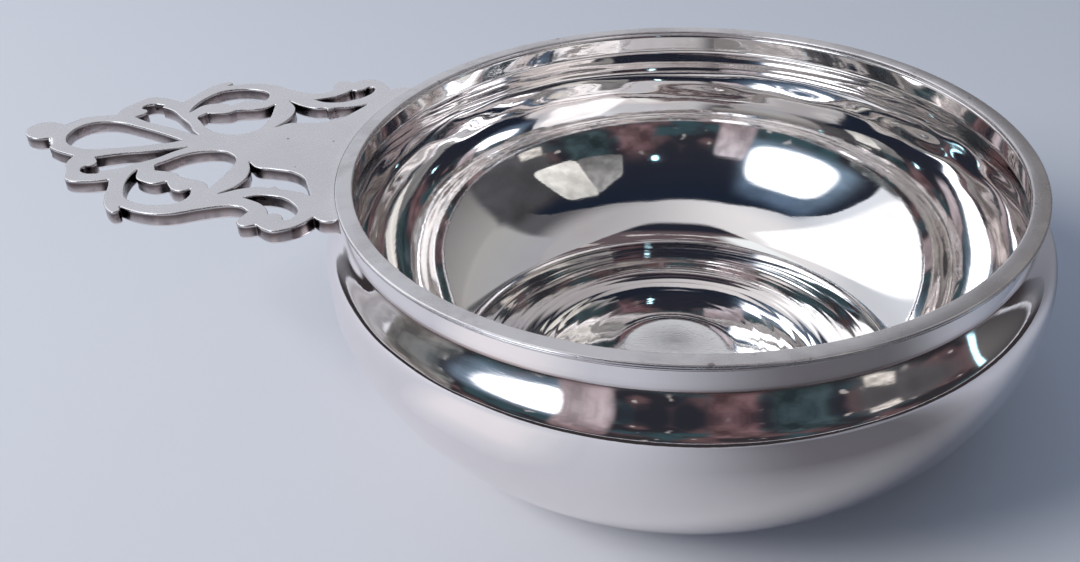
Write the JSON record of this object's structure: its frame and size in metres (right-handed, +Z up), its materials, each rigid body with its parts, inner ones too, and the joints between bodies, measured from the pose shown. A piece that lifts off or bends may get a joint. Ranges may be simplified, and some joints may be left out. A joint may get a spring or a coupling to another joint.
{
  "type": "porringer",
  "caption": "Shallow round silver porringer with a bombe body, flat rim wire and a level pierced scroll handle with a keyhole opening.",
  "frame": {"origin": "on the table, midway along the overall length and on the handle's centre line", "axes": "+X along the length, from the handle's tip to the bowl; +Z up, along the bowl's axis; +Y to the side"},
  "size_m": [0.2068, 0.141, 0.0526],
  "materials": {
    "bowl_silver": "polished silver, mirror bright, with faint spinning rings inside the base",
    "rim_silver": "polished silver worn to a fine satin on its flat top",
    "handle_silver": "cast silver, filed and worn to a soft satin, with darker tarnish in the piercings"
  },
  "bodies": {
    "root": {"bowl": "bowl_silver", "rim_wire": "rim_silver", "handle": "handle_silver"}
  },
  "joints": []
}
